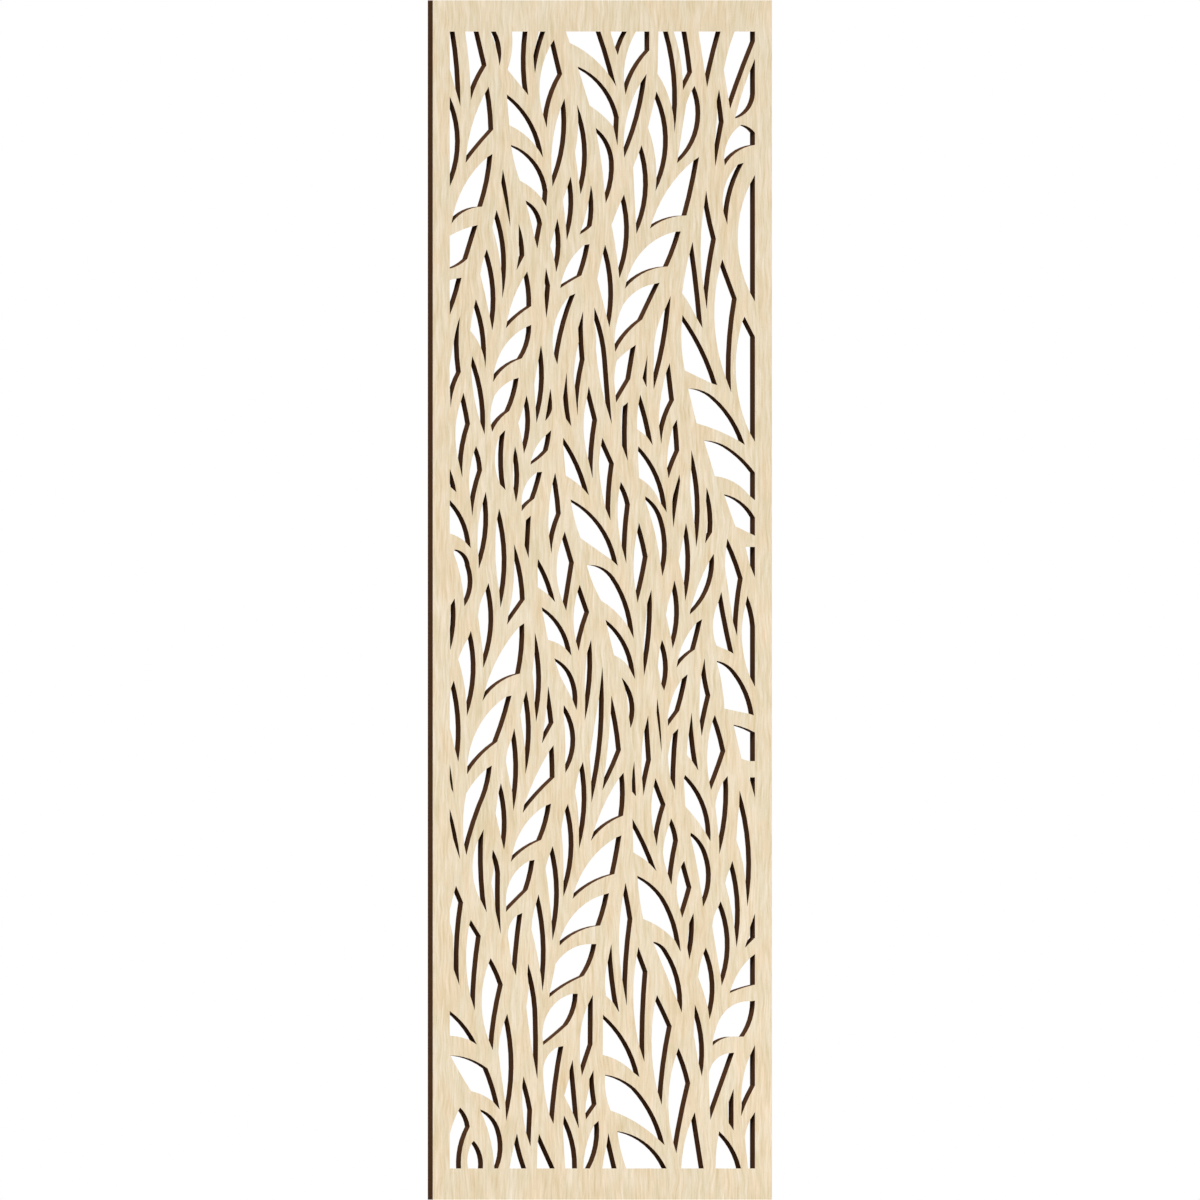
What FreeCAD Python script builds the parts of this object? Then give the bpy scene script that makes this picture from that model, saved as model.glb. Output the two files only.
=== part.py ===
import FreeCAD, Part
import os

# A tall fretwork panel, cut right through one sheet of plywood. The plies are separate glued layers.
# The front faces -Y, Z is up, and the origin is under the middle of the bottom edge.

PERCENT = 100

# Driving dimensions in millimetres.
SHEET_SIZES = (
    ("panel_width", "381"),
    ("panel_height", "1219.2"),
    ("side_border", "19.05"),
    ("end_border", "31.75"),
    ("veneer_thickness", "1.1"),
    ("core_thickness", "1.4"),
)

# The layers from the front to the back, each with the size that sets its thickness.
PLY_LAYERS = (
    ("front_veneer", "veneer_thickness"),
    ("front_outer_crossband", "core_thickness"),
    ("front_long_core", "core_thickness"),
    ("front_inner_crossband", "core_thickness"),
    ("centre_core", "core_thickness"),
    ("back_inner_crossband", "core_thickness"),
    ("back_long_core", "core_thickness"),
    ("back_outer_crossband", "core_thickness"),
    ("back_veneer", "veneer_thickness"),
)

# Each opening lists its corners clockwise, as seen from the front. A corner holds three shares in
# percent: across the field from its left edge, down the field from its top edge, and the bow of the
# side that leaves this corner, as a share of that side's length, positive where it swells the opening.
OPENING_SHARES = (
    # First eighth, from the top border down
    ((0, 0, 0), (1.6, 0, 2.5), (3.5, 6.6, 0), (0, 3.3, 0)),
    ((5.05, 0, 0), (9.45, 0, 0), (12.05, 2.97, -4), (6.9, 6.05, -2)),
    ((13.3, 0, 0), (15.1, 0, 11), (16.3, 3.0, -4)),
    ((20.4, 0, 0), (25.5, 0, -4), (25.75, 5.6, 0), (18.95, 3.35, -6)),
    ((29.2, 0, 0), (31.3, 0, -3), (27.95, 3.7, 2), (27.4, 2.1, 0)),
    ((34.15, 0.7, 0), (36.85, 3.75, -7), (31.8, 8.48, 0), (30.7, 7.45, 12)),
    ((38.05, 0, 0), (49.4, 0, 1.5), (54.6, 4.85, -8), (39.35, 1.0, 0)),
    ((12.75, 4.85, 2.5), (14.25, 8.62, -1.5), (5.2, 11.56, 6.5)),
    ((0, 5.7, 12.5), (0, 13.65, 0)),
    ((18.7, 5.53, 11.2), (30.6, 11.1, -8.5), (19.5, 8.23, 0)),
    ((20.05, 9.97, 15), (32.05, 14.05, 0), (31.65, 15.4, 0), (29.95, 14.6, -5), (22.95, 13.1, 3)),
    ((37.6, 5.88, 8), (33.65, 13.65, 0), (33.5, 12.9, 7)),
    ((41.7, 6.42, 10), (42.85, 14.35, 0), (41.05, 10.6, -4.7)),
    ((47.8, 8.47, 11.5), (53.75, 11.4, 7), (51.1, 15.1, 0), (50.8, 14.2, -1.5)),
    ((41.9, 3.07, 12.5), (55.4, 7.55, 0), (54.95, 10.05, 0), (53.6, 8.35, -4), (45.8, 6.5, 0)),
    ((14.0, 10.76, 3.5), (10.6, 15.4, -11.5), (0.55, 16.9, 9.5), (12.3, 11.05, 0)),
    ((52.65, 0, 0), (58.05, 0, -4), (55.05, 2.07, 0), (54.1, 1.37, 0)),
    ((61.0, 0, 0), (65.4, 0, 0), (65.4, 1.65, -7), (57.6, 5.58, 10)),
    ((68.4, 0, 0), (71.45, 0, 6), (73.6, 8.95, -8.2), (68.05, 3.7, 0)),
    ((73.4, 0, 0), (77.5, 0, 1), (79.4, 3.58, 0), (76.4, 5.18, -4.5)),
    ((81.5, 0, 0), (88.75, 0, -1), (84.33, 4.92, 0)),
    ((93.3, 0, 0), (100, 0, 0), (100, 0.87, -1), (91.85, 6.82, 0), (89.8, 3.37, 2.5)),
    ((100, 2.38, 0), (100, 5.5, 17), (93.47, 7.65, 2.5)),
    ((64.5, 3.72, 4.5), (57.15, 11.1, 10)),
    ((67.72, 5.27, 13.3), (67.42, 14.04, -6.5), (64.95, 8.45, 0)),
    ((80.2, 4.77, 18.5), (74.45, 11.58, 0), (77.45, 6.4, 4)),
    ((88.25, 5.07, 1), (89.75, 7.95, 0), (87.0, 11.9, 1), (86.75, 9.7, -3), (87.45, 6.1, 0)),
    ((62.85, 9.98, 11), (61.15, 17.8, 0), (60.05, 11.95, 0), (62.1, 10.55, 0)),
    ((95.5, 8.2, 10), (100, 8.9, 0), (100, 9.97, -11.5), (90.1, 11.8, 15.5)),
    ((96.3, 11.55, -7), (90.97, 17.0, 0), (89.75, 15.97, 14), (94.5, 11.68, 0)),
    ((81.7, 11.03, 1.5), (77.55, 16.18, -8), (65.6, 17.33, 8), (80.0, 11.33, 0)),
    ((100, 12.6, 0), (100, 23.77, 15)),
    # Second eighth
    ((17.4, 12.12, 2.8), (19.87, 17.22, 0), (16.85, 13.3, 0)),
    ((39.6, 12.76, 7.7), (38.33, 18.35, -1.7), (37.05, 14.86, -0.5)),
    ((46.28, 13.5, 5.8), (46.5, 17.1, 4), (42.55, 17.86, -3.2)),
    ((24.85, 14.86, 13), (30.25, 16.9, 0), (28.7, 19.09, 0), (27.72, 18.07, -0.5)),
    ((9.15, 17.03, 0), (5.77, 20.0, 6), (0, 20.87, 0), (0, 17.97, 4)),
    ((3.9, 21.65, 2.5), (0, 24.95, 0), (0, 21.87, 2)),
    ((15.35, 15.7, 8), (17.2, 23.5, -4.7), (13.92, 17.2, 0.5)),
    ((12.12, 19.13, 7.7), (13.95, 26.3, -1), (10.0, 21.35, 3)),
    ((22.6, 16.9, 5), (24.45, 19.7, 0), (21.9, 21.0, 0), (22.6, 19.75, 0)),
    ((35.25, 16.45, 8), (34.85, 21.2, -3.5), (32.92, 18.8, -1.7)),
    ((45.85, 18.7, 2.5), (43.17, 21.44, -1.5), (36.17, 22.58, 10), (44.05, 18.78, 0)),
    ((25.4, 21.1, 4), (26.7, 24.15, -4), (18.4, 26.1, 6)),
    ((31.55, 20.78, 0), (32.9, 22.35, 1.5), (31.65, 25.2, 1), (31.05, 23.3, 0), (31.1, 21.8, 0)),
    ((50.9, 18.73, 7.6), (52.3, 26.02, 0), (48.35, 21.8, 1)),
    ((57.1, 14.32, 9.4), (55.57, 21.72, -1.7), (53.0, 17.0, 1)),
    ((84.0, 13.96, -1.8), (87.22, 18.25, -2), (84.22, 24.47, 0), (83.2, 22.6, 4.4), (83.25, 15.5, 0)),
    ((75.68, 17.58, 2.2), (71.47, 20.66, -10.3), (57.4, 22.62, 15.8), (74.05, 17.6, 0)),
    ((79.55, 18.48, 1), (82.8, 26.09, 0), (80.6, 25.05, -3), (76.1, 23.0, 2)),
    # Third eighth
    (
        (3.35, 25.05, -3.4), (3.65, 29.95, -5.5), (0.3, 33.1, 0),
        (0, 31.2, 0), (0, 29.3, 0), (1.25, 27.4, 3),
    ),
    ((8.55, 23.53, 6.7), (11.65, 29.63, -9.5), (6.7, 26.3, 2)),
    ((7.4, 28.55, 6.5), (11.45, 35.46, 5), (7.0, 29.3, 0)),
    ((4.5, 31.75, 1.5), (6.65, 34.5, -5), (4.15, 39.27, 0), (2.65, 37.5, 7.5), (3.65, 32.5, 0)),
    ((26.7, 25.8, 8.3), (23.6, 28.75, -9.5), (14.2, 30.83, 14.4), (25.0, 26.0, 0)),
    ((22.6, 30.45, 4.3), (19.5, 33.38, -8), (13.9, 35.23, 8.7), (14.7, 32.0, 7), (20.8, 30.6, 0)),
    ((29.9, 27.55, 7.1), (28.4, 34.44, 0), (27.7, 31.0, 0)),
    ((25.15, 31.99, 9.3), (24.3, 37.13, -2), (22.45, 34.45, -2)),
    ((18.2, 35.04, -4.5), (18.3, 40.33, 0), (16.55, 39.85, 12), (16.4, 35.55, 0)),
    ((21.4, 36.47, 7.3), (21.7, 41.44, 0), (20.75, 40.0, 1.5), (20.85, 37.3, 0)),
    ((33.25, 35.06, 3), (32.1, 36.85, 4), (26.45, 38.1, 10), (31.5, 35.5, 0)),
    ((32.95, 31.37, 3), (33.55, 33.2, 8), (31.25, 34.25, 0)),
    ((41.15, 23.05, -3.7), (35.25, 29.3, 0), (34.3, 28.55, 13.5), (39.2, 23.27, 0)),
    (
        (43.7, 24.58, -2), (44.2, 28.85, -3), (41.85, 33.83, 0),
        (40.65, 30.3, 3), (42.25, 27.3, 0), (42.05, 26.1, 0),
    ),
    (
        (47.4, 24.27, 4.5), (51.5, 28.8, 0), (53.1, 34.54, 0),
        (50.9, 32.6, 2.7), (47.85, 27.8, -5), (47.3, 25.5, 0),
    ),
    ((38.3, 29.96, -2), (39.85, 34.75, 0), (38.05, 34.05, 2), (37.1, 32.2, 0)),
    ((45.55, 31.19, 0), (48.3, 34.15, -2.5), (46.8, 39.3, 0), (45.35, 37.6, 6.9), (44.85, 32.3, 0)),
    ((37.2, 35.72, 5.4), (45.6, 40.8, 0), (43.35, 40.1, -3), (38.0, 39.05, 0), (37.1, 36.2, 0)),
    (
        (50.0, 35.72, 0), (53.8, 38.0, -2.6), (52.65, 43.0, 0),
        (51.05, 41.95, 3), (48.8, 37.9, 1), (49.55, 36.4, 0),
    ),
    ((68.8, 22.09, 0), (63.05, 25.33, -6.4), (54.2, 28.18, 8.3), (56.9, 24.0, 10.3), (67.0, 22.2, 0)),
    ((72.4, 23.25, 3.5), (66.8, 31.5, 1), (66.9, 28.3, 7.5), (70.8, 24.25, 0)),
    ((89.3, 20.03, 0), (94.05, 23.5, -3.1), (92.2, 31.75, 0), (90.55, 30.55, 8.5), (88.65, 20.6, 0)),
    ((76.25, 24.93, 4.5), (87.65, 31.1, 0), (85.8, 30.95, 0), (77.0, 29.8, 4.5)),
    ((96.6, 25.07, 0), (100, 26.85, 0), (100, 36.1, 0), (98.3, 35.3, 9.9), (95.8, 25.55, 0)),
    (
        (61.0, 27.55, 0), (59.15, 30.55, 0), (54.5, 32.65, 0),
        (53.9, 30.7, 3), (54.65, 29.0, 3), (59.0, 27.93, 0),
    ),
    ((64.8, 28.45, -1), (64.5, 31.3, 0), (63.15, 30.48, 0)),
    ((72.05, 29.15, 0), (73.5, 32.42, -6.2), (69.3, 36.3, 0), (68.55, 34.7, 4.2), (70.95, 29.95, 0)),
    ((62.4, 31.92, 2.5), (66.5, 36.38, 0), (64.5, 35.6, 0), (61.35, 34.95, 2), (61.75, 32.9, 0)),
    ((58.4, 32.6, -2), (58.3, 37.75, 0), (56.4, 36.4, 2), (56.4, 33.05, 0)),
    ((74.4, 34.13, 1), (75.2, 36.85, -2), (71.7, 39.3, 0), (71.15, 38.4, 4), (73.1, 34.75, 0)),
    ((79.15, 36.8, 6.5), (80.75, 45.38, 0), (80.2, 43.3, 2), (78.75, 40.2, 0), (79.1, 38.3, 0)),
    ((78.1, 31.4, 8.6), (86.5, 32.15, 7.4), (96.7, 36.36, 0), (94.7, 36.0, -3), (80.85, 34.45, 0)),
    (
        (83.3, 35.97, 6.2), (91.0, 36.54, 4.8), (100, 38.8, 0),
        (100, 41.23, 0), (98.3, 40.85, -10), (86.85, 39.1, 0),
    ),
    ((61.8, 36.47, 10), (71.1, 42.3, 0), (68.9, 41.4, -9), (62.0, 39.25, 0), (61.65, 36.9, 0)),
    # Fourth eighth
    ((0, 38.45, 4), (2.2, 40.53, 0), (0, 40.0, 0)),
    ((8.6, 36.45, 6), (10.6, 38.6, -3.3), (7.4, 42.65, 0), (6.7, 41.0, 6.4), (7.9, 37.0, 0)),
    ((11.8, 40.46, 7.8), (9.5, 47.27, 0), (9.4, 46.25, 5.5), (10.85, 41.4, 0)),
    ((16.2, 41.94, 7.5), (16.65, 50.7, 0), (16.2, 49.2, 4.1), (15.5, 42.85, 0)),
    ((0, 41.2, 10.5), (6.85, 45.43, 0), (5.1, 44.9, -6), (0, 44.15, 0)),
    ((1.6, 45.55, 19), (6.6, 47.0, 13.8), (4.8, 50.57, 0), (4.65, 50.0, -4), (1.2, 45.8, 0)),
    ((26.6, 42.57, 0), (25.85, 46.33, 0), (24.5, 45.2, 0), (24.95, 42.98, 0)),
    ((30.25, 38.73, 2), (27.7, 41.08, -4), (23.55, 42.2, 0), (23.6, 41.7, 14.8), (28.55, 38.77, 0)),
    ((34.55, 38.77, 2), (36.4, 42.4, -4.6), (33.3, 45.93, 0), (32.55, 44.5, 4), (33.55, 39.85, 0)),
    ((39.6, 41.15, 12.8), (55.05, 47.0, 0), (53.15, 46.5, 0), (42.85, 44.55, 3)),
    ((28.9, 46.38, 5), (34.55, 50.2, 0), (32.6, 49.6, 0), (28.85, 48.85, 0), (28.75, 47.0, 0)),
    ((56.05, 39.6, 5), (59.05, 41.6, -2), (57.85, 46.8, 0), (56.35, 45.3, 5.6), (55.65, 40.1, 0)),
    ((64.05, 40.87, 9.8), (69.86, 42.99, 8.4), (69.65, 47.92, 0), (69.1, 46.9, -3.2), (64.05, 41.25, 0)),
    ((75.25, 38.95, 0), (75.5, 39.55, 0), (73.25, 43.64, 0), (72.9, 42.3, 0), (72.9, 41.05, 0)),
    ((84.15, 40.08, 6), (85.95, 44.05, 0), (83.65, 45.03, 0), (84.0, 44.2, -4), (83.95, 41.3, 0)),
    ((89.85, 40.7, 11), (100, 42.75, 0), (100, 44.35, 0), (93.55, 43.5, 0)),
    ((96.9, 45.33, 0), (100, 45.33, 0), (100, 48.03, 0), (98.3, 46.9, 0)),
    ((62.0, 43.17, 2), (64.85, 46.2, 1.5), (61.55, 50.25, 0), (61.0, 49.35, 5.5), (61.45, 43.95, 0)),
    ((77.4, 43.2, 6.6), (77.15, 50.12, 0), (76.8, 48.7, 0), (75.0, 46.55, 0), (76.7, 44.3, 0)),
    # Fifth eighth
    ((1.6, 49.86, 6), (0.15, 54.43, 0), (0, 52.7, 0), (0.3, 50.45, 0)),
    ((12.7, 48.5, 9.4), (10.95, 56.0, 0), (10.9, 54.7, 0), (9.3, 51.45, 6.5), (11.8, 49.15, 0)),
    ((21.1, 45.08, 4.5), (24.6, 49.95, 0), (18.8, 52.17, 0), (19.1, 51.5, -3.5), (21.15, 46.4, 0)),
    ((37.7, 43.97, 0), (40.7, 46.7, 0), (38.15, 50.97, 0), (36.8, 50.0, 10), (36.75, 44.7, 0)),
    ((42.6, 48.64, 0), (45.7, 51.05, -2.5), (42.25, 54.5, 0), (41.25, 53.55, 6.8), (41.9, 49.2, 0)),
    ((30.1, 50.62, 12.5), (39.9, 54.9, 0), (37.7, 54.2, -5), (32.2, 53.5, 0)),
    ((6.95, 52.7, 8.5), (5.65, 60.2, 0), (5.5, 59.2, -3.3), (2.8, 55.2, 3), (6.0, 53.35, 0)),
    ((24.4, 52.03, 3.5), (23.0, 56.47, -10), (10.7, 58.9, 7), (22.75, 52.35, 0)),
    ((27.9, 52.83, 6.9), (28.3, 60.72, 0), (27.8, 59.3, -1.5), (27.1, 56.4, 0), (27.8, 54.6, 0)),
    ((46.3, 53.47, 5), (44.25, 60.62, 0), (44.35, 58.9, 0), (44.25, 56.7, 0), (45.0, 54.65, 0)),
    ((34.25, 55.12, 7.6), (39.7, 56.4, 9.6), (41.5, 59.68, 0), (40.2, 58.75, 0), (36.1, 56.65, 0)),
    ((50.0, 55.85, 4.6), (46.45, 67.83, 0), (46.3, 66.0, 0), (45.9, 63.6, 0), (48.95, 58.5, 0)),
    (
        (1.35, 57.08, 5.9), (2.8, 64.25, 0), (1.65, 63.05, 0),
        (0, 61.2, 0), (0, 58.8, 0), (0.45, 57.7, 0),
    ),
    ((20.25, 58.4, 2), (15.5, 62.48, -5.5), (5.65, 65.35, 13.5), (18.5, 58.5, 0)),
    ((25.1, 57.96, 6.6), (24.8, 65.33, 0), (24.65, 63.0, 0), (23.1, 60.1, 0), (24.25, 58.75, 0)),
    ((21.15, 61.27, 5.8), (20.85, 68.57, 0), (20.45, 66.9, 1), (18.4, 64.2, 6), (20.2, 62.3, 0)),
    ((32.25, 57.55, 1), (34.0, 60.8, 0), (30.2, 62.63, 0), (30.65, 61.75, 0), (31.75, 59.4, 0)),
    ((37.35, 59.23, 17.5), (37.9, 65.2, 0), (37.8, 64.7, -2), (37.25, 59.8, 0)),
    ((34.0, 62.77, 1), (34.35, 65.6, -2.5), (23.9, 68.73, 0), (24.3, 68.1, 3), (32.7, 63.25, 0)),
    ((86.5, 45.93, 13.5), (78.6, 51.29, 0), (78.75, 51.0, 3.3), (85.0, 46.6, 0)),
    (
        (90.95, 44.6, 2.5), (96.0, 48.1, -2.2), (94.15, 53.2, 0),
        (92.85, 52.0, 0), (90.1, 47.0, 0), (90.6, 45.25, 0),
    ),
    ((73.6, 48.26, 9), (73.0, 54.28, 0), (72.5, 53.3, 0), (70.85, 51.3, 3), (72.9, 49.15, 0)),
    (
        (66.05, 49.07, 4.2), (63.65, 56.7, 0), (63.4, 55.3, 0),
        (63.55, 53.75, 0), (64.5, 50.9, 0), (64.55, 50.4, 0),
    ),
    ((44.9, 46.95, 13), (53.9, 48.0, 7.7), (60.3, 53.4, 0), (58.55, 52.4, -6), (49.6, 50.05, 3.5)),
    ((51.05, 51.73, 12.5), (60.65, 56.96, 0), (58.65, 55.9, -8), (53.8, 54.85, 0)),
    ((69.55, 53.49, 10.4), (70.25, 57.98, 0), (69.3, 57.4, 0), (68.2, 55.9, 2), (68.95, 54.1, 0)),
    ((82.7, 51.68, 1), (80.3, 54.35, -5), (74.3, 55.95, 0), (74.7, 55.35, 7.5), (80.85, 52.0, 0)),
    ((89.0, 49.27, -1), (93.0, 54.72, 0), (91.25, 54.45, 0), (87.35, 54.0, 11), (87.9, 50.25, 0)),
    ((97.5, 49.62, 4.5), (100, 52.3, 0), (100, 57.65, 0), (98.35, 56.75, 8.9), (96.95, 50.35, 0)),
    ((83.5, 55.13, -3), (85.4, 58.4, -1), (82.55, 62.02, 0), (81.9, 60.65, 2), (82.35, 56.6, 0)),
    ((56.25, 56.8, 17), (59.25, 61.27, 0), (58.65, 60.2, -5)),
    ((52.95, 58.38, 2.5), (56.1, 63.2, 2), (50.0, 66.75, 0), (50.55, 65.7, -1), (52.7, 60.1, 0)),
    ((65.0, 60.15, 0), (65.95, 64.05, -1), (63.5, 67.22, 0), (62.95, 65.6, 3), (63.55, 61.75, 0)),
    ((68.0, 58.6, 2), (69.45, 63.45, 0), (67.75, 59.9, 0)),
    ((77.95, 56.52, 2), (75.2, 59.73, 0), (71.45, 61.1, 0), (71.45, 60.5, 8), (76.25, 56.9, 0)),
    ((74.9, 61.3, -1.5), (73.85, 66.75, 0), (72.3, 65.7, 2), (71.5, 63.8, 3), (73.05, 61.8, 0)),
    ((79.25, 59.87, -1.5), (81.45, 65.0, 0), (79.5, 64.2, 0), (77.65, 63.6, 1), (78.25, 61.8, 0)),
    ((86.85, 60.1, 2.5), (90.3, 63.3, 1), (85.6, 66.73, 0), (85.0, 66.0, 6.3), (86.05, 60.65, 0)),
    ((87.45, 55.35, 10), (94.0, 56.47, 7), (99.65, 60.15, 0), (98.0, 60.0, 0), (90.0, 59.55, -3)),
    ((93.0, 60.97, 4), (100, 61.65, 0), (100, 64.17, 6), (95.6, 63.95, 0)),
    # Sixth eighth
    ((0, 64.45, 2), (1.2, 66.97, 0), (0.5, 66.6, 0), (0, 65.8, 0)),
    ((0, 68.35, 3), (3.4, 72.82, 1), (1.1, 71.0, 0), (0, 69.4, 0)),
    (
        (13.8, 64.56, 5), (10.45, 68.0, -2), (5.45, 72.46, 0),
        (4.7, 71.5, 4.4), (5.4, 67.0, 4.5), (12.1, 64.83, 0),
    ),
    ((16.75, 66.09, 6.7), (17.8, 72.0, 0), (17.0, 71.1, 0), (15.0, 68.75, 0), (16.05, 66.85, 0)),
    ((33.2, 67.9, 4), (29.95, 71.1, -6), (20.0, 73.03, 0), (20.45, 72.45, 11), (31.3, 68.1, 0)),
    ((43.65, 64.23, 6.8), (42.4, 71.88, 0), (42.3, 70.9, -3), (41.05, 66.8, 2), (42.55, 64.9, 0)),
    ((56.95, 65.19, 3.9), (56.8, 68.97, -7.5), (46.2, 71.2, 0), (47.05, 70.45, 4), (55.65, 65.6, 0)),
    ((60.45, 64.15, 0), (61.05, 67.27, 0), (59.7, 66.85, 3.5)),
    ((67.4, 65.66, 0), (70.7, 68.0, -3), (67.8, 71.65, 0), (66.8, 70.4, 5.6), (66.8, 66.4, 0)),
    ((59.85, 69.25, 3), (67.75, 73.86, 0), (65.5, 73.2, -3), (60.15, 72.2, 0), (59.95, 70.2, 0)),
    ((77.1, 65.38, 12.2), (85.4, 71.23, 0), (83.65, 70.4, -2.5), (77.2, 68.15, 0), (76.7, 65.7, 0)),
    ((91.05, 65.47, 5), (88.35, 72.37, 0), (88.2, 70.9, 0), (87.0, 68.1, 6), (89.65, 65.95, 0)),
    ((98.1, 65.6, 0), (100, 65.6, 0), (100, 67.4, 0)),
    (
        (72.55, 69.2, 5), (74.8, 71.15, -2), (72.65, 75.05, 0),
        (71.3, 74.0, 3), (69.8, 72.2, 4), (71.9, 69.75, 0),
    ),
    ((11.1, 70.15, -2.8), (12.15, 77.5, 0), (10.5, 76.6, 13.2), (9.35, 71.1, 0)),
    (
        (14.1, 71.94, 6), (16.5, 74.0, -1), (16.75, 79.42, 0), (15.0, 77.4, -3),
        (13.6, 74.9, 0), (14.55, 73.5, 0), (13.85, 72.6, 0),
    ),
    ((27.8, 72.86, 3), (25.5, 75.5, -0.5), (18.4, 77.44, 0), (18.5, 77.0, 17), (26.2, 72.93, 0)),
    ((38.7, 67.93, 9.2), (37.25, 76.1, 0), (37.2, 75.6, -2), (36.55, 70.2, 2), (37.8, 68.5, 0)),
    ((33.75, 71.63, 7.5), (33.65, 79.96, 0), (33.4, 78.4, -1), (31.4, 73.6, 2), (32.8, 72.3, 0)),
    ((56.25, 70.7, 1), (53.95, 74.1, -7), (40.3, 76.28, 0), (40.55, 75.85, 10), (54.6, 70.88, 0)),
    ((76.8, 72.93, 0), (79.2, 75.28, 1), (76.15, 77.97, 0), (75.4, 77.2, 10), (75.85, 73.4, 0)),
    ((78.95, 70.45, 9.5), (84.41, 72.39, 11.6), (82.95, 77.0, 0), (82.7, 76.2, -1.5), (78.85, 70.7, 0)),
    ((92.6, 72.93, 6.8), (93.95, 80.55, 0), (93.3, 78.9, -2), (90.25, 74.9, 3), (91.85, 73.55, 0)),
    ((94.95, 66.73, 6.8), (97.5, 76.98, 0), (96.95, 75.0, -4), (93.9, 71.1, 1), (94.8, 68.1, 0)),
    # Seventh eighth
    (
        (2.05, 75.12, 0), (4.4, 76.6, -3.1), (3.15, 83.9, 0), (1.3, 82.5, 1),
        (1.2, 79.7, 0), (0, 78.3, 0), (0, 77.3, 0), (1.35, 75.8, 0),
    ),
    ((6.9, 78.12, 0), (10.2, 79.56, -2), (8.2, 86.1, 0), (6.7, 84.8, 5.5), (6.35, 78.55, 0)),
    ((0, 86.14, 6.5), (8.9, 89.1, 0), (6.45, 88.7, -4), (0, 88.32, 0)),
    ((23.8, 77.52, -1), (21.7, 83.03, 0), (20.35, 82.0, 0), (19.05, 79.6, 13), (22.0, 77.74, 0)),
    ((29.1, 75.88, 5.7), (30.4, 84.44, 0), (29.85, 83.0, -1.5), (26.75, 78.95, 4), (28.35, 76.6, 0)),
    ((52.2, 75.78, 2.5), (49.3, 78.62, -8.5), (36.0, 80.4, 0), (36.0, 80.0, 13), (50.6, 75.9, 0)),
    (
        (48.05, 80.26, 6), (43.95, 83.05, -4), (32.6, 84.96, 0),
        (32.7, 84.6, 0), (34.7, 82.0, 12.5), (46.3, 80.26, 0),
    ),
    ((41.95, 84.63, 8), (38.6, 87.36, 1), (30.65, 89.15, 0), (30.5, 88.85, 20), (40.2, 84.63, 0)),
    (
        (46.9, 84.7, 0), (46.8, 89.06, 0), (43.3, 91.87, 0),
        (42.8, 90.85, 1), (42.6, 89.3, 6), (45.35, 85.55, 0),
    ),
    ((13.4, 81.49, 3), (17.4, 83.83, -2.5), (14.1, 89.6, 0), (12.8, 88.75, 10.3), (12.85, 81.85, 0)),
    (
        (25.65, 81.96, 4.5), (28.8, 87.0, 1), (28.7, 92.17, 0), (27.3, 90.1, 1),
        (25.1, 85.8, 0), (25.95, 84.1, 0), (25.45, 82.95, 0),
    ),
    ((18.85, 86.38, 7), (18.5, 95.83, 0), (18.15, 94.1, 0.5), (15.95, 89.75, 5), (18.0, 87.0, 0)),
    ((50.2, 86.47, 9), (62.15, 91.97, 0), (60.4, 91.6, -7), (50.1, 90.0, 0)),
    ((61.45, 74.25, 6.8), (70.2, 76.2, 6.8), (75.65, 80.95, 0), (73.8, 79.95, -6), (63.35, 78.05, 2)),
    ((57.6, 74.86, 1), (59.85, 78.05, -2), (58.0, 85.74, 0), (56.5, 83.4, 4.5), (56.6, 76.25, 0)),
    ((52.95, 80.26, -2), (55.55, 86.3, 0), (53.5, 85.4, 0), (51.2, 84.8, 6), (51.75, 81.8, 0)),
    ((61.8, 80.52, 0), (64.8, 82.7, -1.5), (63.8, 90.66, 0), (62.1, 89.25, 5.6), (61.2, 81.4, 0)),
    ((66.65, 80.05, 12), (71.5, 81.0, 9.3), (76.0, 86.3, 0), (74.7, 85.35, 0.5)),
    ((79.85, 77.52, 5), (78.5, 81.64, 0), (77.8, 80.6, 0), (78.4, 78.45, 0)),
    ((88.75, 76.48, 11.2), (89.1, 83.94, 0), (88.7, 83.0, 0), (86.0, 78.7, 7), (87.95, 77.0, 0)),
    ((83.9, 80.57, 10.5), (85.1, 86.9, 0), (84.65, 86.0, -2), (81.4, 83.15, 4), (83.2, 81.0, 0)),
    ((80.3, 85.55, 8), (82.6, 91.9, 0), (81.4, 90.6, 0), (80.0, 88.3, 0), (80.15, 86.55, 0)),
    ((67.9, 84.73, 1), (72.75, 87.5, -2.2), (69.45, 94.42, 0), (68.1, 93.25, 6), (67.3, 85.35, 0)),
    (
        (100, 77.55, 0), (100, 79.7, 0), (96.7, 80.6, 0),
        (97.1, 80.2, 0), (98.3, 79.5, 0), (98.35, 78.8, 0),
    ),
    ((100, 81.14, 0), (100, 83.83, -2.5), (91.7, 84.57, 7), (98.3, 81.5, 0)),
    (
        (100, 85.23, 8.5), (96.35, 88.4, 0), (91.8, 88.42, -8), (86.15, 89.2, 0),
        (86.15, 88.9, 4), (88.2, 87.0, 15), (98.3, 85.3, 0),
    ),
    # Last eighth, down to the bottom border
    ((0.2, 90.05, 7.5), (12.4, 91.2, 3), (16.4, 94.82, 0), (14.3, 94.15, -6), (7.05, 93.2, 1.5)),
    (
        (24.15, 91.89, 2.5), (27.0, 94.85, 0), (26.45, 98.08, 0),
        (24.95, 96.8, 2), (23.8, 94.6, 0), (23.75, 92.7, 0),
    ),
    ((37.25, 89.23, -1.7), (34.0, 96.1, 0), (32.6, 95.25, 3.5), (30.55, 91.5, 15), (35.4, 89.32, 0)),
    (
        (40.25, 90.43, 0.5), (42.35, 96.52, 0), (40.45, 95.2, 0),
        (37.5, 93.6, 0), (39.25, 92.0, 0), (39.2, 91.4, 0),
    ),
    (
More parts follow.
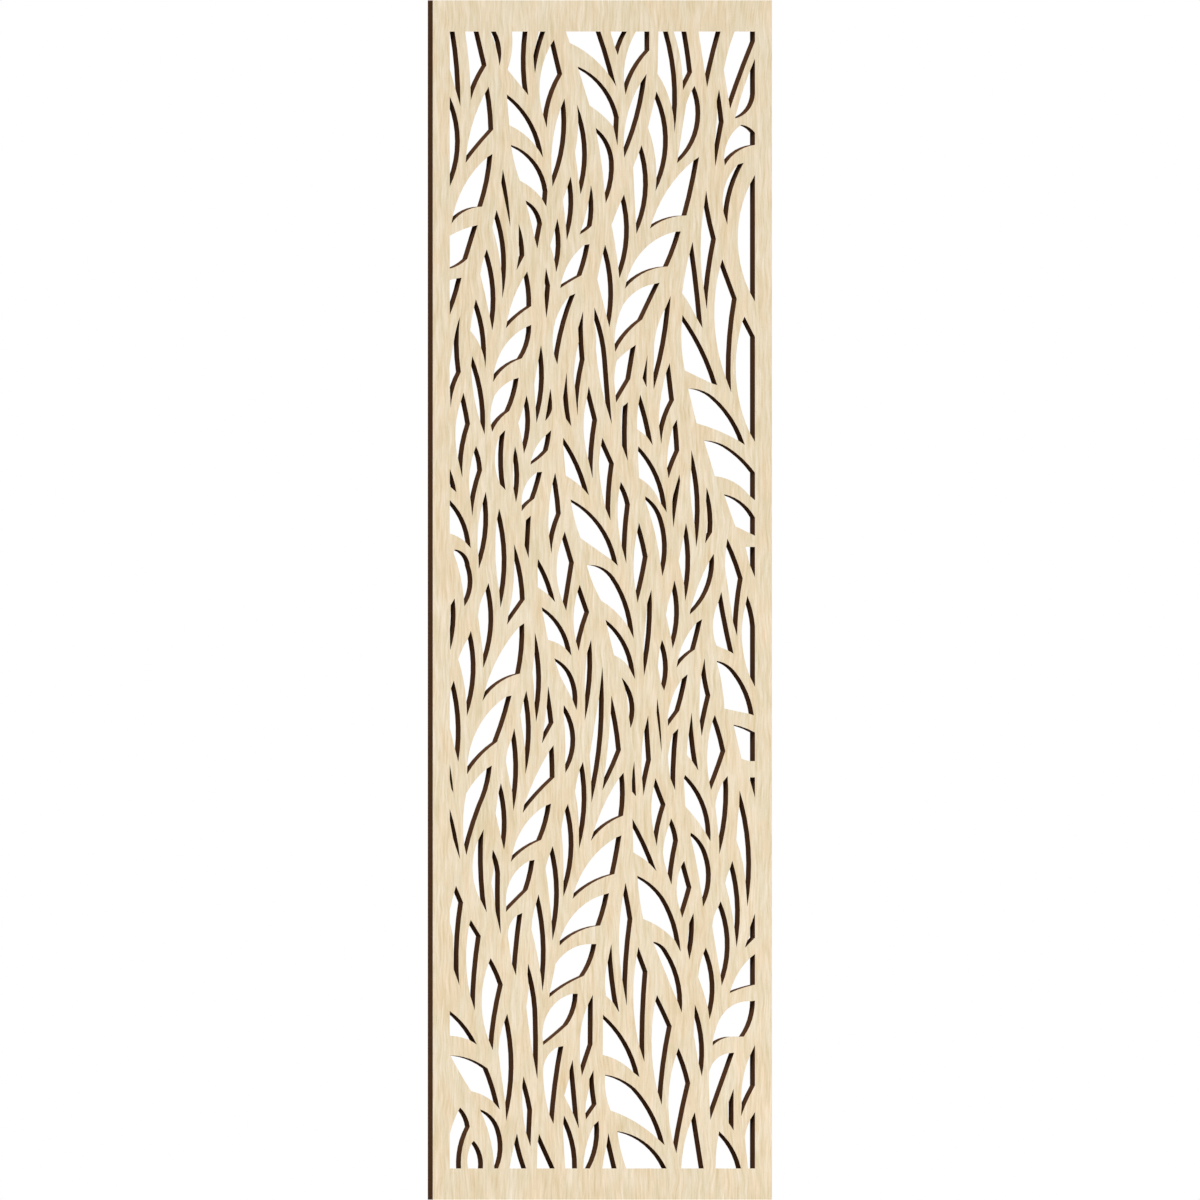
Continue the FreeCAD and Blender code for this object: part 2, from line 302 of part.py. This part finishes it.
        (47.05, 91.35, -2), (48.1, 94.35, 0), (44.6, 95.7, 0), (44.4, 95.1, 0),
        (44.6, 94.2, 0), (45.7, 92.9, 0), (45.7, 92.15, 0),
    ),
    ((3.4, 94.63, 9), (6.6, 96.33, -7.5), (3.7, 100, 0), (0, 100, 0), (0, 97.0, 3), (2.75, 94.95, 0)),
    ((9.9, 94.8, 13), (16.5, 96.66, 10), (15.85, 100, 0), (14.6, 100, -5.5)),
    ((7.9, 97.56, 11.8), (10.85, 100, 0), (6.0, 100, 9.5), (7.25, 97.75, 0)),
    ((22.05, 96.9, -2.5), (25.05, 100, 0), (19.6, 100, 1), (21.2, 97.75, 0)),
    ((29.25, 96.94, 0), (34.4, 100, 0), (28.5, 100, 0), (28.8, 97.7, 0)),
    ((37.45, 95.34, 7.2), (41.7, 100, 0), (37.85, 100, 0), (37.15, 97.0, 0), (37.2, 95.9, 0)),
    ((48.75, 95.8, 8.7), (45.9, 100, 0), (43.75, 100, 6), (47.2, 96.2, 0)),
    ((51.95, 96.88, 0), (54.65, 100, 0), (50.0, 100, 2), (51.3, 98.1, 0)),
    ((50.9, 91.75, 7), (60.95, 93.0, 7), (70.4, 97.96, 0), (68.4, 97.45, -5.2), (52.7, 94.9, 6.5)),
    ((54.9, 96.72, 12.6), (71.05, 100, 0), (57.8, 100, 3)),
    ((74.95, 89.39, 3), (78.8, 92.5, -1.2), (74.25, 98.67, 0), (73.2, 97.7, 8), (74.3, 89.9, 0)),
    ((80.3, 95.03, 0), (83.2, 100, 0), (75.85, 100, 4.8), (79.25, 95.7, 0)),
    ((93.2, 89.81, 0), (85.4, 95.73, 0), (85.2, 94.6, 1), (84.9, 91.6, 16), (91.4, 89.86, 0)),
    ((100, 89.13, 0), (100, 92.7, -2), (95.4, 95.43, 0), (95.65, 94.4, 6.5), (98.3, 90.1, 0)),
    ((93.0, 92.98, 0), (93.0, 96.66, 0), (91.4, 96.0, 3), (91.3, 94.2, 0)),
    ((88.25, 96.73, 8.5), (95.45, 100, 0), (87.1, 100, 3), (88.15, 96.95, 0)),
    ((100, 95.03, 0), (100, 100, 0), (97.8, 100, 1), (96.7, 97.2, 3), (98.3, 95.75, 0)),
)


def make_sheet(doc):
    """The driving dimensions, one named cell each."""
    sheet = doc.addObject("Spreadsheet::Sheet", "Sizes")
    for row, (alias, value) in enumerate(SHEET_SIZES, start=1):
        sheet.set(f"A{row}", alias)
        sheet.set(f"B{row}", value)
        sheet.setAlias(f"B{row}", alias)
    doc.recompute()
    return sheet


def side_edge(start, end, bow_share):
    """One side of an opening: straight, or an arc whose crown stands off by its bow."""
    if bow_share == 0:
        return Part.LineSegment(start, end).toShape()
    along = end - start
    outward = FreeCAD.Vector(-along.z, 0, along.x)
    crown = (start + end) / 2 + outward * (bow_share / PERCENT)
    return Part.Arc(start, crown, end).toShape()


def opening_wire(corner_shares, sheet):
    """The closed outline of one opening, placed in the field inside the borders."""
    field_width = sheet.panel_width - 2 * sheet.side_border
    field_height = sheet.panel_height - 2 * sheet.end_border
    corners = []
    for across_share, down_share, bow_share in corner_shares:
        x = (across_share / PERCENT - 1 / 2) * field_width
        z = sheet.panel_height - sheet.end_border - down_share / PERCENT * field_height
        corners.append((FreeCAD.Vector(x, 0, z), bow_share))
    edges = []
    for index, (start, bow_share) in enumerate(corners):
        end = corners[(index + 1) % len(corners)][0]
        edges.append(side_edge(start, end, bow_share))
    return Part.Wire(edges)


def panel_wire(sheet):
    """The plain rectangle that the sheet is sawn to."""
    half_width = sheet.panel_width / 2
    bottom_left = FreeCAD.Vector(-half_width, 0, 0)
    bottom_right = FreeCAD.Vector(half_width, 0, 0)
    top_right = FreeCAD.Vector(half_width, 0, sheet.panel_height)
    top_left = FreeCAD.Vector(-half_width, 0, sheet.panel_height)
    return Part.makePolygon([bottom_left, bottom_right, top_right, top_left, bottom_left])


def make_cut_pattern(doc, sheet):
    """The pierced face that every ply shares: its arcs need a shape of their own."""
    wires = [panel_wire(sheet)]
    for corner_shares in OPENING_SHARES:
        wires.append(opening_wire(corner_shares, sheet))
    pattern = doc.addObject("Part::Feature", "CutPattern")
    pattern.Shape = Part.makeFace(wires, "Part::FaceMakerBullseye")
    return pattern


def make_plies(doc, pattern):
    """The plies from front to back, each raised from the pattern and seated on the one before it."""
    thickness_terms = [f"Sizes.{size}" for _, size in PLY_LAYERS]
    panel_thickness = " + ".join(thickness_terms)
    plies = []
    for index, (label, size) in enumerate(PLY_LAYERS):
        ply = doc.addObject("Part::Extrusion", label)
        ply.Label = label
        ply.Base = pattern
        ply.DirMode = "Custom"
        ply.Dir = FreeCAD.Vector(0, 1, 0)
        ply.Solid = True
        ply.setExpression("LengthFwd", f"Sizes.{size}")
        laid_before = " + ".join(["0"] + thickness_terms[:index])
        ply.setExpression("Placement.Base.y", f"{laid_before} - ({panel_thickness}) / 2")
        plies.append(ply)
    doc.recompute()
    return plies


def check_document(doc, plies):
    """Stop before anything is written if an object failed or a ply isn't one sound solid."""
    for item in doc.Objects:
        if "Invalid" in item.State or "Error" in item.State:
            raise RuntimeError(f"{item.Label} failed: {item.State}")
    for ply in plies:
        if ply.Shape.isNull() or not ply.Shape.isValid():
            raise RuntimeError(f"{ply.Label} has no valid shape")
        if len(ply.Shape.Solids) != 1:
            raise RuntimeError(f"{ply.Label} has {len(ply.Shape.Solids)} solids")


def export_plies(plies):
    os.makedirs("parts", exist_ok=True)
    for ply in plies:
        ply.Shape.exportStep(os.path.join("parts", f"{ply.Label}.step"))
        box = ply.Shape.BoundBox
        print(ply.Label, f"y {box.YMin:.2f} to {box.YMax:.2f}", f"volume {ply.Shape.Volume:.0f}")


def main():
    doc = FreeCAD.newDocument("FretworkPanel")
    sheet = make_sheet(doc)
    pattern = make_cut_pattern(doc, sheet)
    plies = make_plies(doc, pattern)
    check_document(doc, plies)
    export_plies(plies)


main()
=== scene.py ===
from collections import namedtuple
import math

import bpy
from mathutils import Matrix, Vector


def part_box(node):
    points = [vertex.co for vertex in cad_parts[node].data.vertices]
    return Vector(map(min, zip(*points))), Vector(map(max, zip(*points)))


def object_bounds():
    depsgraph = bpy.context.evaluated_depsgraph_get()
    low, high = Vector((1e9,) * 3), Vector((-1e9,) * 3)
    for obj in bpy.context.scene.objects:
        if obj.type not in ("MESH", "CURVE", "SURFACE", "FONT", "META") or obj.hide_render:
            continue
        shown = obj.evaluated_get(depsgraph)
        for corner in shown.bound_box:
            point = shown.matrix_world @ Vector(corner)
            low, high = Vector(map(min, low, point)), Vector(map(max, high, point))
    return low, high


# A pierced birch plywood panel on a pale floor, seen level from the left with no perspective.
# Lengths are in metres, and colours are linear.

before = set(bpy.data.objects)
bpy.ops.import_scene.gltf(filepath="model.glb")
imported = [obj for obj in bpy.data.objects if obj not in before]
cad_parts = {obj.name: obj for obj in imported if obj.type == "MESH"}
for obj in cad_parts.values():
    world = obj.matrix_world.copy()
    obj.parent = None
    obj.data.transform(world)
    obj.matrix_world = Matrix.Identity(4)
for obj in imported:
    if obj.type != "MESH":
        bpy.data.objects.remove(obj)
cad_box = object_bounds()

# Camera, from the photo's outline
VIEW_TURN_DEG = -25.2
VIEW_DISTANCE = 4.0
VIEW_SPAN = 1.2198
VIEW_NUDGE = 0.00015

# Colours of the sheet's faces, of its cut walls and of the floor
WOOD_PALE = (0.930, 0.815, 0.660, 1)
WOOD_DARK = (0.660, 0.530, 0.305, 1)
COOL_TINT = (0.988, 1.026, 1.055, 1)
WARM_TINT = (1.012, 0.974, 0.938, 1)
CHAR_BROWN = (0.094, 0.0425, 0.0195, 1)
CHAR_BLACK = (0.045, 0.0205, 0.0096, 1)
FLOOR_PALE = (0.90, 0.90, 0.89, 1)
FLOOR_BOUNCE = (0.30, 0.29, 0.28, 1)
WHITE = (1, 1, 1, 1)

# Layers of noise: cells per metre, the part of those that a layer has along the grain, its detail,
# and the range of the noise that is spread out to run from 0 to 1
Layer = namedtuple("Layer", "cells along detail low high")
STREAKS = Layer(cells=400, along=0.09, detail=3, low=0.3, high=0.7)
BANDS = Layer(cells=40, along=0.25, detail=2, low=0.3, high=0.7)
PORES = Layer(cells=900, along=0.06, detail=2, low=0.35, high=0.7)
FLECKS = Layer(cells=3200, along=0.12, detail=1, low=0.6, high=0.74)
FLAME = Layer(cells=48, along=0.6, detail=3, low=0.3, high=0.7)
WARMTH = Layer(cells=75, along=0.3, detail=3, low=0.3, high=0.7)
SCORCH_STREAKS = Layer(cells=650, along=0.06, detail=3, low=0.3, high=0.7)
SCORCH_CLOUDS = Layer(cells=60, along=1, detail=2, low=0.3, high=0.7)
NOISE_ROUGHNESS = 0.55

# Weights in the tone of the wood, which runs from pale to dark
STREAK_WEIGHT = 0.46
BAND_WEIGHT = 0.08
PORE_WEIGHT = 0.28
FLECK_WEIGHT = 0.30
FLAME_WEIGHT = 0.07
RING_WEIGHT = 0.12

# Growth rings: a log whose heart lies behind the face, nearer at one end, and wanders sideways
RINGS_PER_METRE = 120
RING_TAPER = 0.05
RING_DEPTH = 0.035
RING_SHARPNESS = 2.0
RING_WANDER = 0.34
RING_WANDER_CELLS = 8
RING_WANDER_ALONG = 0.12
RING_WANDER_DETAIL = 2

# Sideways sway of the grain lines
SWAY = 0.008
SWAY_CELLS = 28
SWAY_DETAIL = 1

# Shade of the burnt walls, from brown to black: what makes up the scorch, the scorch's own weight,
# and the glue lines, whose widths are parts of a ply's thickness
SCORCH_STREAK_WEIGHT = 0.6
SCORCH_CLOUD_WEIGHT = 0.4
SCORCH_WEIGHT = 0.65
GLUE_DARKNESS = 0.35
GLUE_DARK_WITHIN = 0.04
GLUE_FADED_AT = 0.10

# Surface of the wood
FACE_ROUGHNESS = 0.55
WALL_ROUGHNESS = 0.82
ROUGHNESS_RANGE = 0.10
BUMP_STRENGTH = 0.15
BUMP_DEPTH = 0.0002

# A surface whose normal leans this much towards Y is a face of the sheet, and any other is a cut wall.
FACE_LEAN = 0.5

# Kinds of ply: the nodes, where the noise is taken from, the turn of the grain, the gloss of the
# surface, and what is added to the shade of the burnt walls
Ply = namedtuple("Ply", "material nodes offset grain_turn_deg gloss burn")
PLIES = (
    Ply(
        material="face_veneer_birch",
        nodes=("front_veneer", "back_veneer"),
        offset=(0.07, 0, 0.21), grain_turn_deg=0, gloss=0.06, burn=-0.12,
    ),
    Ply(
        material="long_ply_birch",
        nodes=("front_long_core", "centre_core", "back_long_core"),
        offset=(0.43, 0, 0.62), grain_turn_deg=0, gloss=0.0, burn=-0.12,
    ),
    Ply(
        material="crossband_birch",
        nodes=(
            "front_outer_crossband", "front_inner_crossband",
            "back_inner_crossband", "back_outer_crossband",
        ),
        offset=(0.81, 0, 0.37), grain_turn_deg=90, gloss=0.0, burn=0.16,
    ),
)

# Floor
FLOOR_SIDE = 8.0
FLOOR_MOTTLE_CELLS = 3.0
FLOOR_ROUGHNESS = 0.9
FLOOR_GLOSS = 0.1

# Soft fill from the world, by how far a direction rises, where straight up is 1
FILL_LOW_RISE = -0.2
FILL_HIGH_RISE = 0.9
FILL_BELOW = 0.04
FILL_ABOVE = 0.55

# Lamps, with the direction that each shines from
Sun = namedtuple("Sun", "name toward strength breadth_deg")
SUNS = (
    Sun(name="key_lamp", toward=(-0.46, -0.68, 0.85), strength=3.5, breadth_deg=20),
    Sun(name="back_lamp", toward=(0.40, 0.75, 0.60), strength=2.7, breadth_deg=25),
)

# The Mix node's sockets for each kind of value: first, second and result
MIX_SOCKETS = {"RGBA": (6, 7, 2), "FLOAT": (2, 3, 0)}


def add_node(tree, kind, inputs, **settings):
    """One shader node, with each input linked to a socket or set to a value."""
    node = tree.nodes.new(kind)
    for name, value in settings.items():
        setattr(node, name, value)
    for socket, value in inputs.items():
        if isinstance(value, bpy.types.NodeSocket):
            tree.links.new(value, node.inputs[socket])
        else:
            node.inputs[socket].default_value = value
    return node


def math_node(tree, operation, first, second=0.0, third=0.0):
    """The result of an operation on up to three numbers."""
    inputs = {0: first, 1: second, 2: third}
    return add_node(tree, "ShaderNodeMath", inputs, operation=operation).outputs[0]


def vector_node(tree, operation, first, second):
    """The result of an operation on two vectors or colours."""
    return add_node(tree, "ShaderNodeVectorMath", {0: first, 1: second}, operation=operation).outputs[0]


def axis_value(tree, vector, axis):
    """A vector's value on one axis."""
    return add_node(tree, "ShaderNodeSeparateXYZ", {"Vector": vector}).outputs[axis]


def blend(tree, factor, first, second, kind="RGBA"):
    """A colour or a number between two others."""
    first_socket, second_socket, result = MIX_SOCKETS[kind]
    inputs = {0: factor, first_socket: first, second_socket: second}
    return add_node(tree, "ShaderNodeMix", inputs, data_type=kind).outputs[result]


def weighted_sum(tree, parts):
    """The sum of values, each times its weight."""
    total = 0.0
    for value, weight in parts:
        total = math_node(tree, "MULTIPLY_ADD", value, weight, total)
    return total


def stretched_noise(tree, place, stretch, offset, cells, detail):
    """Noise that a stretch under 1 makes longer along that axis."""
    mapped = add_node(tree, "ShaderNodeMapping", {
        "Vector": place, "Scale": stretch, "Location": offset,
    })
    noise = add_node(tree, "ShaderNodeTexNoise", {
        "Vector": mapped.outputs[0], "Scale": cells, "Detail": detail, "Roughness": NOISE_ROUGHNESS,
    })
    return noise.outputs["Fac"]


def noise_layer(tree, place, offset, layer, grain_axis="Z"):
    """A layer of noise drawn out along one axis, spread out to run from 0 to 1."""
    stretch = tuple(layer.along if axis == grain_axis else 1 for axis in "XYZ")
    noise = stretched_noise(tree, place, stretch, offset, layer.cells, layer.detail)
    return add_node(tree, "ShaderNodeMapRange", {
        "Value": noise, "From Min": layer.low, "From Max": layer.high,
    }).outputs[0]


def ring_figure(tree, place, offset):
    """Growth rings as a slicing knife meets them: tall arches that close upwards."""
    stretch = (1, 1, RING_WANDER_ALONG)
    wander = stretched_noise(tree, place, stretch, offset, RING_WANDER_CELLS, RING_WANDER_DETAIL)
    wander_across = math_node(tree, "MULTIPLY_ADD", wander, RING_WANDER, offset[0] - RING_WANDER / 2)
    across = math_node(tree, "ADD", axis_value(tree, place, "X"), wander_across)
    into = math_node(tree, "MULTIPLY_ADD", axis_value(tree, place, "Z"), RING_TAPER, RING_DEPTH)
    across_squared = math_node(tree, "MULTIPLY", across, across)
    radius = math_node(tree, "SQRT", math_node(tree, "MULTIPLY_ADD", into, into, across_squared))
    turns = math_node(tree, "MULTIPLY", radius, 2 * math.pi * RINGS_PER_METRE)
    wave = math_node(tree, "MULTIPLY_ADD", math_node(tree, "SINE", turns), 1 / 2, 1 / 2)
    return math_node(tree, "POWER", wave, RING_SHARPNESS)


def swayed_place(tree, place, offset):
    """Places moved a few millimetres sideways, so that the grain lines are a little wavy."""
    noise = stretched_noise(tree, place, (1, 1, 1), offset, SWAY_CELLS, SWAY_DETAIL)
    sway = math_node(tree, "MULTIPLY_ADD", noise, SWAY, -SWAY / 2)
    sideways = add_node(tree, "ShaderNodeCombineXYZ", {"X": sway}).outputs[0]
    return vector_node(tree, "ADD", place, sideways)


def wood_colour(tree, straight_place, offset):
    """The colour of pale birch with its grain along Z, and where its pores are."""
    place = swayed_place(tree, straight_place, offset)
    pores = noise_layer(tree, place, offset, PORES)
    tone = weighted_sum(tree, (
        (noise_layer(tree, place, offset, STREAKS), STREAK_WEIGHT),
        (noise_layer(tree, place, offset, BANDS), BAND_WEIGHT),
        (pores, PORE_WEIGHT),
        (noise_layer(tree, place, offset, FLECKS), FLECK_WEIGHT),
        (noise_layer(tree, place, offset, FLAME), FLAME_WEIGHT),
        (ring_figure(tree, place, offset), RING_WEIGHT),
    ))
    wood = blend(tree, tone, WOOD_PALE, WOOD_DARK)
    tint = blend(tree, noise_layer(tree, place, offset, WARMTH), COOL_TINT, WARM_TINT)
    return vector_node(tree, "MULTIPLY", wood, tint), pores


def glue_lines(tree, place):
    """How much the glue darkens a wall, by the distance from where two plies meet."""
    core_low, core_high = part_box("centre_core")
    ply_thickness = core_high.y - core_low.y
    depth = math_node(tree, "SUBTRACT", axis_value(tree, place, "Y"), core_low.y)
    ply_part = math_node(tree, "FRACT", math_node(tree, "DIVIDE", depth, ply_thickness))
    from_line = math_node(tree, "MINIMUM", ply_part, math_node(tree, "SUBTRACT", 1.0, ply_part))
    return add_node(tree, "ShaderNodeMapRange", {
        "Value": from_line, "From Min": GLUE_DARK_WITHIN, "From Max": GLUE_FADED_AT,
        "To Min": GLUE_DARKNESS, "To Max": 0.0,
    }).outputs[0]


def char_colour(tree, place, offset, burn):
    """The colour of burnt cut walls, and the scorch in it, whose streaks run through the sheet along Y."""
    scorch = weighted_sum(tree, (
        (noise_layer(tree, place, offset, SCORCH_CLOUDS), SCORCH_CLOUD_WEIGHT),
        (noise_layer(tree, place, offset, SCORCH_STREAKS, grain_axis="Y"), SCORCH_STREAK_WEIGHT),
    ))
    base_shade = math_node(tree, "ADD", glue_lines(tree, place), burn)
    shade = math_node(tree, "MULTIPLY_ADD", scorch, SCORCH_WEIGHT, base_shade)
    return blend(tree, shade, CHAR_BROWN, CHAR_BLACK), scorch


def ply_material(ply):
    """Pale wood on the faces of the sheet and burnt wood on every cut wall."""
    material = bpy.data.materials.new(ply.material)
    material.use_nodes = True
    tree = material.node_tree
    shader = tree.nodes["Principled BSDF"]
    place = add_node(tree, "ShaderNodeTexCoord", {}).outputs["Object"]
    normal = add_node(tree, "ShaderNodeNewGeometry", {}).outputs["True Normal"]
    lean = math_node(tree, "ABSOLUTE", axis_value(tree, normal, "Y"))
    on_face = math_node(tree, "GREATER_THAN", lean, FACE_LEAN)

    along_grain = add_node(tree, "ShaderNodeMapping", {
        "Vector": place, "Rotation": (0, math.radians(ply.grain_turn_deg), 0),
    }).outputs[0]
    wood, pores = wood_colour(tree, along_grain, ply.offset)
    char, scorch = char_colour(tree, place, ply.offset, ply.burn)
    tree.links.new(blend(tree, on_face, char, wood), shader.inputs["Base Color"])

    face_rough = math_node(tree, "MULTIPLY_ADD", pores, ROUGHNESS_RANGE, FACE_ROUGHNESS)
    wall_rough = math_node(tree, "MULTIPLY_ADD", scorch, ROUGHNESS_RANGE, WALL_ROUGHNESS)
    rough = blend(tree, on_face, wall_rough, face_rough, kind="FLOAT")
    tree.links.new(rough, shader.inputs["Roughness"])
    shader.inputs["Specular IOR Level"].default_value = ply.gloss

    bump = add_node(tree, "ShaderNodeBump", {
        "Height": blend(tree, on_face, scorch, pores, kind="FLOAT"),
        "Strength": BUMP_STRENGTH, "Distance": BUMP_DEPTH,
    }, invert=True)
    tree.links.new(bump.outputs[0], shader.inputs["Normal"])
    return material


def dress_nodes():
    """One material for each kind of ply, with its noise from elsewhere, so that they don't repeat."""
    for ply in PLIES:
        material = ply_material(ply)
        for name in ply.nodes:
            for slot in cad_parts[name].material_slots:
                slot.material = material


def background_rays(tree):
    """1 for rays that show the background to the camera: straight, in a reflection or through glass."""
    rays = add_node(tree, "ShaderNodeLightPath", {})
    bent = math_node(tree, "MAXIMUM", rays.outputs["Is Glossy Ray"], rays.outputs["Is Transmission Ray"])
    return math_node(tree, "MAXIMUM", rays.outputs["Is Camera Ray"], bent)


def make_floor():
    """A pale floor, which bounces less light on to the object than its paint as seen would."""
    bpy.ops.mesh.primitive_plane_add(size=FLOOR_SIDE, location=(0, 0, 0))
    floor = bpy.context.object
    floor.name = "studio_floor"
    material = bpy.data.materials.new("studio_floor_paint")
    material.use_nodes = True
    tree = material.node_tree
    shader = tree.nodes["Principled BSDF"]
    place = add_node(tree, "ShaderNodeTexCoord", {}).outputs["Object"]
    mottle = add_node(tree, "ShaderNodeTexNoise", {"Vector": place, "Scale": FLOOR_MOTTLE_CELLS})
    paint = blend(tree, mottle.outputs["Fac"], FLOOR_PALE, WHITE)
    seen_paint = blend(tree, background_rays(tree), FLOOR_BOUNCE, paint)
    tree.links.new(seen_paint, shader.inputs["Base Color"])
    shader.inputs["Roughness"].default_value = FLOOR_ROUGHNESS
    shader.inputs["Specular IOR Level"].default_value = FLOOR_GLOSS
    floor.data.materials.append(material)


def make_world():
    """White to the camera and in reflections, and a soft fill from above for everything else."""
    world = bpy.data.worlds.new("studio")
    bpy.context.scene.world = world
    world.use_nodes = True
    tree = world.node_tree
    way = add_node(tree, "ShaderNodeTexCoord", {}).outputs["Generated"]
    fill = add_node(tree, "ShaderNodeMapRange", {
        "Value": axis_value(tree, way, "Z"), "From Min": FILL_LOW_RISE, "From Max": FILL_HIGH_RISE,
        "To Min": FILL_BELOW, "To Max": FILL_ABOVE,
    }).outputs[0]
    strength = add_node(tree, "ShaderNodeMapRange", {
        "Value": background_rays(tree), "To Min": fill, "To Max": 1.0,
    }).outputs[0]
    background = tree.nodes["Background"]
    background.inputs["Color"].default_value = WHITE
    tree.links.new(strength, background.inputs["Strength"])


def add_sun(sun):
    """A soft far light, shining from its direction on to the object."""
    data = bpy.data.lights.new(sun.name, "SUN")
    data.energy = sun.strength
    data.angle = math.radians(sun.breadth_deg)
    lamp = bpy.data.objects.new(sun.name, data)
    lamp.rotation_euler = Vector(sun.toward).to_track_quat("Z", "Y").to_euler()
    bpy.context.scene.collection.objects.link(lamp)


def make_camera():
    """A level view without perspective, turned to the left and framed as the photo is."""
    low, high = (Vector(corner) for corner in cad_box)
    turn = math.radians(VIEW_TURN_DEG)
    back = Vector((math.sin(turn), -math.cos(turn), 0))
    right = Vector((math.cos(turn), math.sin(turn), 0))
    data = bpy.data.cameras.new("camera")
    data.type = "ORTHO"
    data.ortho_scale = VIEW_SPAN
    camera = bpy.data.objects.new("camera", data)
    camera.location = (low + high) / 2 + back * VIEW_DISTANCE + right * VIEW_NUDGE
    camera.rotation_euler = back.to_track_quat("Z", "Y").to_euler()
    bpy.context.scene.collection.objects.link(camera)
    bpy.context.scene.camera = camera


dress_nodes()
make_floor()
make_world()
for sun in SUNS:
    add_sun(sun)
make_camera()
bpy.context.scene.view_settings.view_transform = "Standard"
